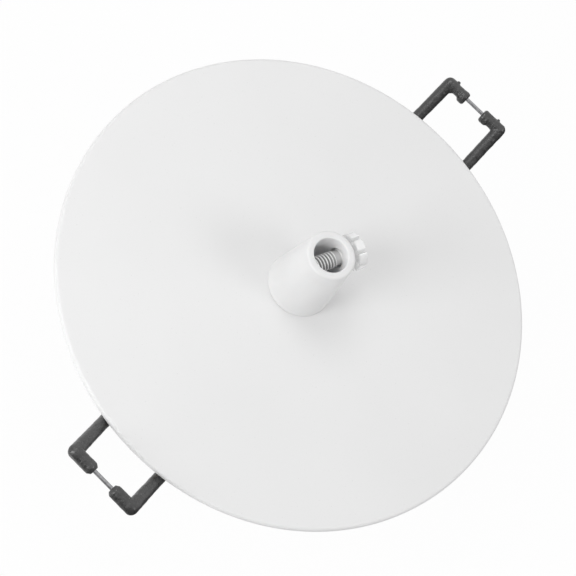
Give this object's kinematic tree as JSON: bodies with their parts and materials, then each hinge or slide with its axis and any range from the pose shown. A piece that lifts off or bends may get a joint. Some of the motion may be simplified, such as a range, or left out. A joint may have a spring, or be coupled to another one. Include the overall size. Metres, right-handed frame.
{
  "type": "light fixture ceiling canopy",
  "caption": "Round recessed ceiling canopy for a pendant cord: flat white plate with a tapered screw cord grip and sprung wire clips behind it.",
  "frame": {"origin": "centre of the plate's back face, which lies against the ceiling", "axes": "+Z out of the ceiling along the cord grip, +X towards the right spring clip"},
  "size_m": [0.1462, 0.12, 0.0443],
  "materials": {
    "white_powder_coat": "matt white powder coat",
    "white_plastic": "satin moulded plastic",
    "clear_plastic": "clear moulded plastic",
    "zinc_steel": "zinc plated",
    "brass": "yellow brass",
    "spring_wire": "drawn spring steel",
    "black_rubber": "matt black rubber"
  },
  "bodies": {
    "canopy": {"canopy_plate": "white_powder_coat", "cord_grip": "white_plastic", "threaded_nipple": "zinc_steel", "lock_washer": "zinc_steel", "nipple_nut": "zinc_steel", "spring_bracket": "zinc_steel", "earth_screw": "brass", "earth_washer": "brass"},
    "thumb_screw": {"grip_screw": "clear_plastic"},
    "right_clip": {"right_spring": "spring_wire", "right_sleeve_rear": "black_rubber", "right_sleeve_front": "black_rubber"},
    "left_clip": {"left_spring": "spring_wire", "left_sleeve_rear": "black_rubber", "left_sleeve_front": "black_rubber"}
  },
  "joints": [
    {"name": "right_clip_fold", "type": "hinge", "parent": "canopy", "child": "right_clip", "pos_m": [0.0405, 0, -0.0172], "axis": [0, 1, 0], "range_deg": [0, 115], "stiffness_Nm_per_rad": 0.27, "springref_deg": -34.38, "deforming": ["right_spring"]},
    {"name": "left_clip_fold", "type": "hinge", "parent": "canopy", "child": "left_clip", "pos_m": [-0.0405, 0, -0.0172], "axis": [0, -1, 0], "range_deg": [0, 115], "stiffness_Nm_per_rad": 0.27, "springref_deg": -34.38, "deforming": ["left_spring"]},
    {"name": "grip_screw_travel", "type": "slide", "parent": "canopy", "child": "thumb_screw", "axis": [0.9336, -0.3584, 0], "range_m": [0, 0.0082]}
  ]
}
